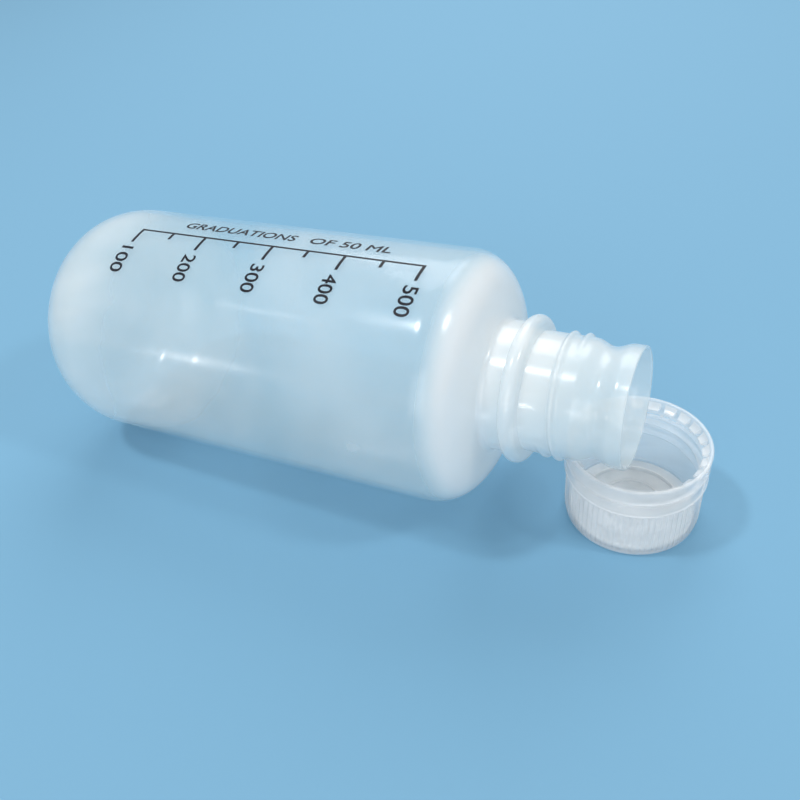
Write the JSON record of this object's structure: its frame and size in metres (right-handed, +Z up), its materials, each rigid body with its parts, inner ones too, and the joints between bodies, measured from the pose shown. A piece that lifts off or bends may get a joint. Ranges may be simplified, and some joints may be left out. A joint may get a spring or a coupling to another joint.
{
  "type": "urine bottle",
  "caption": "Translucent urine collection bottle lying on its side, with printed volume scale and a ribbed screw cap with tamper band and sealing disc.",
  "frame": {"origin": "middle of the underside of the whole part's box, on the surface that bottle and cap lie on", "axes": "+X along the lying bottle towards its mouth, +Y across it to the side that the cap stands on, +Z up"},
  "size_m": [0.2125, 0.075, 0.0818],
  "materials": {
    "bottle_plastic": "milky translucent, satin",
    "cap_plastic": "clear milky, soft gloss",
    "disc_plastic": "clear milky, soft gloss",
    "scale_ink": "black screen-printed ink"
  },
  "bodies": {
    "bottle": {"bottle": "bottle_plastic"},
    "disc": {"sealing_disc": "disc_plastic"},
    "cap": {"cap_shell": "cap_plastic", "tamper_band": "cap_plastic"}
  },
  "joints": [
    {"name": "cap_draw", "type": "slide", "parent": "bottle", "child": "disc", "axis": [0.9889, -0.1483, 0], "range_m": [0, 0.0605]},
    {"name": "cap_turn", "type": "hinge", "parent": "disc", "child": "cap", "pos_m": [0.08517, 0.009, 0], "axis": [0, 0, 1], "continuous": true}
  ]
}
